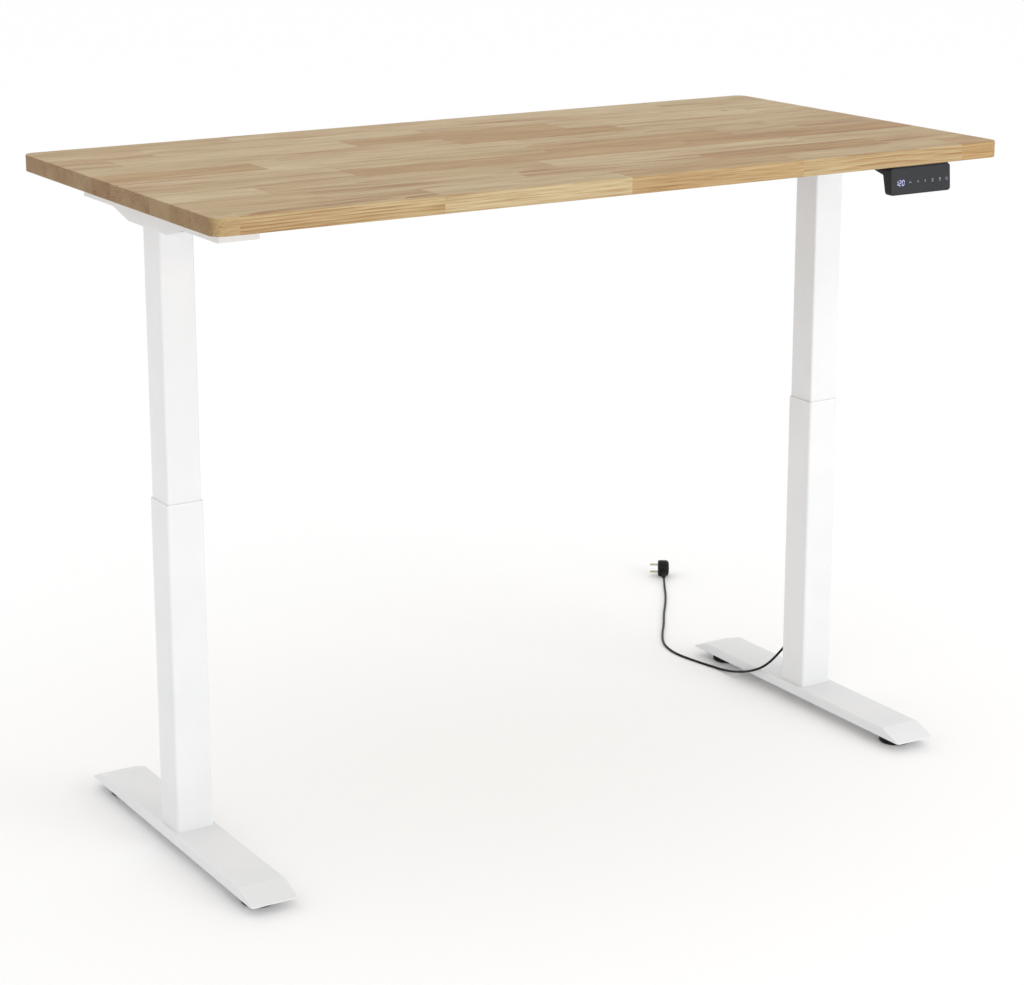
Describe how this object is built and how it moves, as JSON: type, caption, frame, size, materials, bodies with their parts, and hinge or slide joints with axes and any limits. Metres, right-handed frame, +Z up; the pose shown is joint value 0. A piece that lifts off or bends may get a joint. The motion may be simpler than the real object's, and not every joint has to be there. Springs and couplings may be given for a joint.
{
  "type": "height adjustable standing desk",
  "caption": "Sit-stand desk: oak plank top on two square telescopic columns with sheet-steel feet, levelling glides, touch handset and mains lead.",
  "frame": {"origin": "on the floor, below the middle of the desktop", "axes": "+X along the desktop to the user's right, +Y to the back, +Z up"},
  "size_m": [1.7333, 1.2411, 1.2],
  "materials": {
    "oak_top": "oiled",
    "white_powder_coat": "satin",
    "zinc_fasteners": "zinc plated",
    "glide_plastic": "moulded",
    "bush_plastic": "moulded",
    "drive_casing": "satin",
    "bright_steel": "ground",
    "nut_brass": "turned",
    "raw_steel": "rolled",
    "box_plastic": "moulded",
    "circuit_board": "lacquered",
    "socket_plastic": "moulded",
    "handset_plastic": "moulded",
    "handset_panel": "satin",
    "cord_sheath": "extruded",
    "plug_plastic": "moulded",
    "plug_metal": "nickel plated"
  },
  "bodies": {
    "left_base": {"left_drive_nut": "nut_brass", "left_foot": "white_powder_coat", "left_foot_bolts": "zinc_fasteners", "left_nut_tube": "raw_steel", "left_outer_column": "white_powder_coat", "left_upper_bush": "bush_plastic", "left_weld_nuts": "zinc_fasteners"},
    "top": {"control_board": "circuit_board", "control_box_lid": "box_plastic", "control_box_shell": "box_plastic", "control_box_sockets": "socket_plastic", "desktop": "oak_top", "desktop_screws": "zinc_fasteners", "frame_bolts": "zinc_fasteners", "front_cross_rail": "white_powder_coat", "handset_board": "circuit_board", "handset_housing": "handset_plastic", "handset_panel": "handset_panel", "handset_plate": "handset_plastic", "left_collar_plate": "white_powder_coat", "left_gearbox": "drive_casing", "left_inner_column": "white_powder_coat", "left_lower_bush": "bush_plastic", "left_motor": "drive_casing", "left_motor_mount": "raw_steel", "left_screw_bearing": "bright_steel", "left_side_bracket": "white_powder_coat", "rear_cross_rail": "white_powder_coat", "right_collar_plate": "white_powder_coat", "right_gearbox": "drive_casing", "right_inner_column": "white_powder_coat", "right_lower_bush": "bush_plastic", "right_motor": "drive_casing", "right_motor_mount": "raw_steel", "right_screw_bearing": "bright_steel", "right_side_bracket": "white_powder_coat"},
    "right_base": {"cord_anchor": "plug_plastic", "cord_anchor_screws": "zinc_fasteners", "mains_cord": "cord_sheath", "plug_body": "plug_plastic", "plug_boot": "plug_plastic", "plug_pins": "plug_metal", "right_drive_nut": "nut_brass", "right_foot": "white_powder_coat", "right_foot_bolts": "zinc_fasteners", "right_nut_tube": "raw_steel", "right_outer_column": "white_powder_coat", "right_upper_bush": "bush_plastic", "right_weld_nuts": "zinc_fasteners"},
    "left_screw": {"left_lead_screw": "bright_steel"},
    "right_screw": {"right_lead_screw": "bright_steel"},
    "left_front_glide": {"left_front_glide_pad": "glide_plastic", "left_front_glide_stud": "zinc_fasteners"},
    "left_rear_glide": {"left_rear_glide_pad": "glide_plastic", "left_rear_glide_stud": "zinc_fasteners"},
    "right_front_glide": {"right_front_glide_pad": "glide_plastic", "right_front_glide_stud": "zinc_fasteners"},
    "right_rear_glide": {"right_rear_glide_pad": "glide_plastic", "right_rear_glide_stud": "zinc_fasteners"}
  },
  "joints": [
    {"name": "lift", "type": "slide", "parent": "left_base", "child": "top", "axis": [0, 0, 1], "range_m": [-0.475, 0]},
    {"name": "right_lift", "type": "slide", "parent": "top", "child": "right_base", "axis": [0, 0, 1], "range_m": [0, 0.475]},
    {"name": "left_screw_spin", "type": "hinge", "parent": "top", "child": "left_screw", "pos_m": [-0.698, 0, 1], "axis": [0, 0, 1], "range_deg": [-14250, 0]},
    {"name": "right_screw_spin", "type": "hinge", "parent": "top", "child": "right_screw", "pos_m": [0.698, 0, 1], "axis": [0, 0, 1], "range_deg": [-14250, 0]},
    {"name": "left_front_glide_turn", "type": "hinge", "parent": "left_base", "child": "left_front_glide", "pos_m": [-0.698, -0.286, 0], "axis": [0, 0, 1], "continuous": true},
    {"name": "left_rear_glide_turn", "type": "hinge", "parent": "left_base", "child": "left_rear_glide", "pos_m": [-0.698, 0.27, 0], "axis": [0, 0, 1], "continuous": true},
    {"name": "right_front_glide_turn", "type": "hinge", "parent": "right_base", "child": "right_front_glide", "pos_m": [0.698, -0.286, 0], "axis": [0, 0, 1], "continuous": true},
    {"name": "right_rear_glide_turn", "type": "hinge", "parent": "right_base", "child": "right_rear_glide", "pos_m": [0.698, 0.27, 0], "axis": [0, 0, 1], "continuous": true}
  ],
  "couplings": [
    {"joint": "right_lift", "follows": "lift", "ratio": -1},
    {"joint": "left_screw_spin", "follows": "lift", "rad_per_m": 523.6},
    {"joint": "right_screw_spin", "follows": "lift", "rad_per_m": 523.6}
  ]
}
